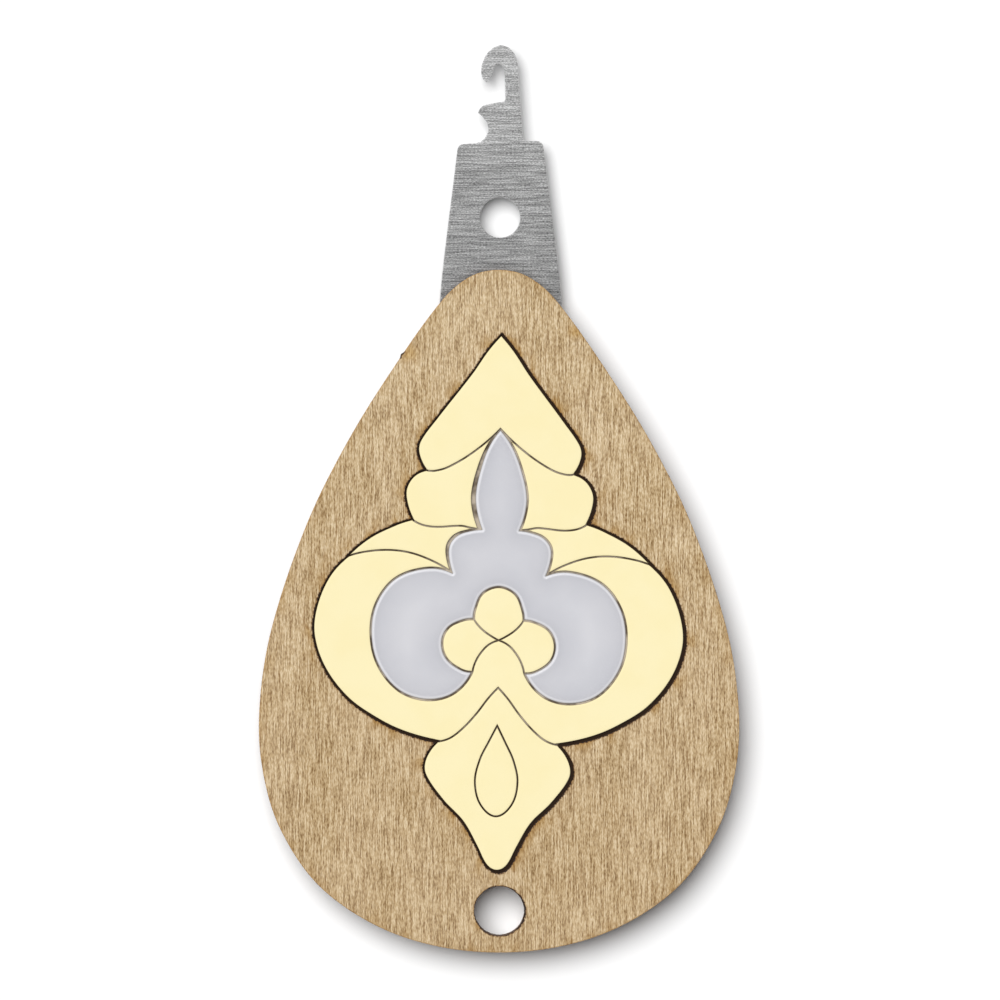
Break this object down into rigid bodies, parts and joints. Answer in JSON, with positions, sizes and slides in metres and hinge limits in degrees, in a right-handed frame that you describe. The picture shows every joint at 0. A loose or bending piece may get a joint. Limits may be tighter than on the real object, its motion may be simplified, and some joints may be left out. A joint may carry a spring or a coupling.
{
  "type": "needle threader",
  "caption": "Flat needle threader: a drop-shaped plywood handle with an inlaid ornament and a hanging hole, and a thin steel blade ending in a small hook.",
  "frame": {"origin": "on the underside of the back plate, in the middle of the whole outline", "axes": "+Y along the threader towards the hook, +Z out of the ornamented front face, +X to the right seen from the front"},
  "size_m": [0.0401, 0.0756, 0.0037],
  "materials": {
    "birch": "unvarnished birch plywood, laser cut, with browned edges",
    "steel": "brushed across the blade, satin",
    "cream": "smooth cream paint, satin, with browned cut edges",
    "pearl": "pale pearl grey, glossy, with softened edges"
  },
  "bodies": {
    "root": {"front_plate": "birch", "back_plate": "birch", "threader_blade": "steel", "arrowhead_inlay": "cream", "left_shoulder_inlay": "cream", "right_shoulder_inlay": "cream", "left_petal_inlay": "cream", "right_petal_inlay": "cream", "left_leaf_inlay": "cream", "right_leaf_inlay": "cream", "leaf_top_inlay": "cream", "crescent_inlay": "cream", "pendant_inlay": "cream", "drop_inlay": "cream", "pearl_inlay": "pearl"}
  },
  "joints": []
}
